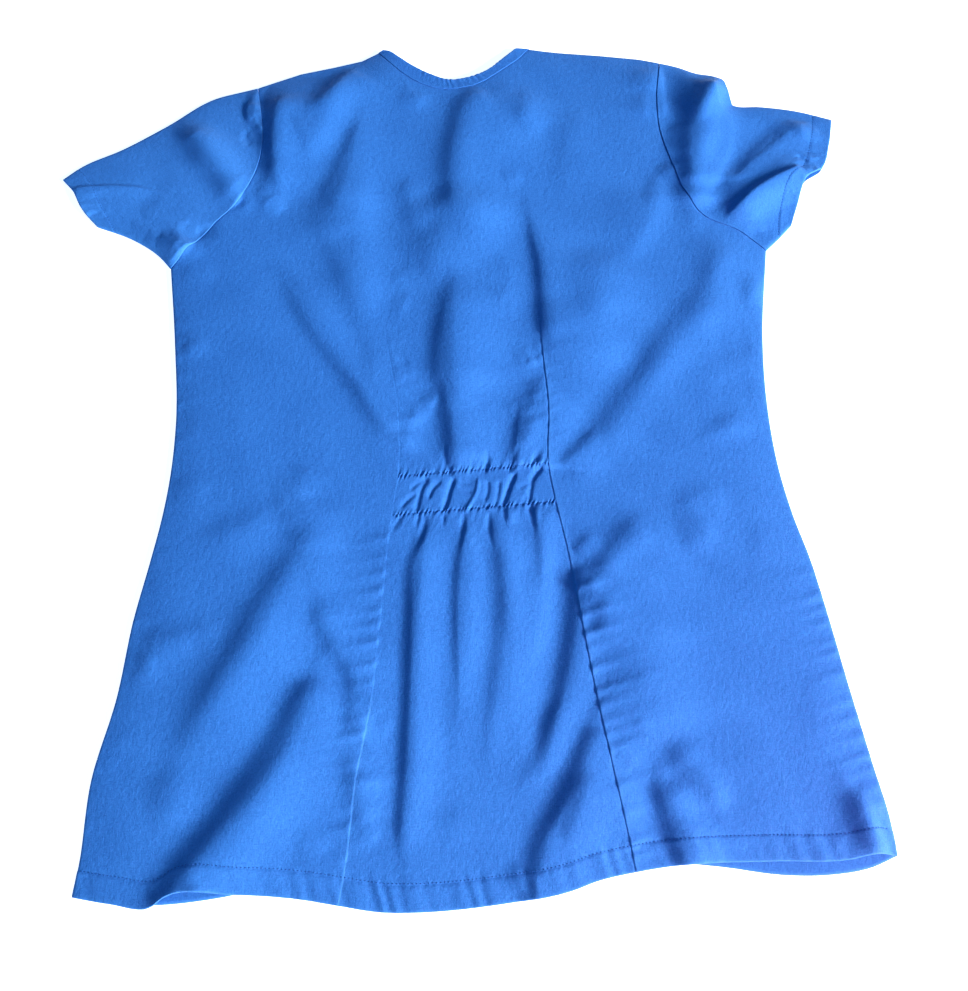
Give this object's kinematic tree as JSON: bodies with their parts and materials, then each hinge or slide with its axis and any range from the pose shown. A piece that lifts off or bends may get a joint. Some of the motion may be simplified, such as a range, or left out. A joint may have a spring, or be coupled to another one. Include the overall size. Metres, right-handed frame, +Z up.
{
  "type": "medical scrub top",
  "caption": "Short-sleeved A-line medical scrub top lying flat with its back uppermost: long dart seams, gathered elasticated waist, turned hems and a narrow neckband.",
  "frame": {"origin": "middle of the bounding box, on the surface that the top lies on", "axes": "+X to the right of the top as it lies, +Y from the hem to the neck, +Z up from the surface"},
  "size_m": [0.658, 0.7102, 0.0106],
  "materials": {
    "cloth_blue": "matt poly-cotton twill",
    "band_blue": "matt poly-cotton twill, folded double"
  },
  "bodies": {
    "root": {"back": "cloth_blue", "front": "cloth_blue", "sleeve_left": "cloth_blue", "sleeve_right": "cloth_blue", "neckband_back": "band_blue", "neckband_front": "band_blue"}
  },
  "joints": []
}
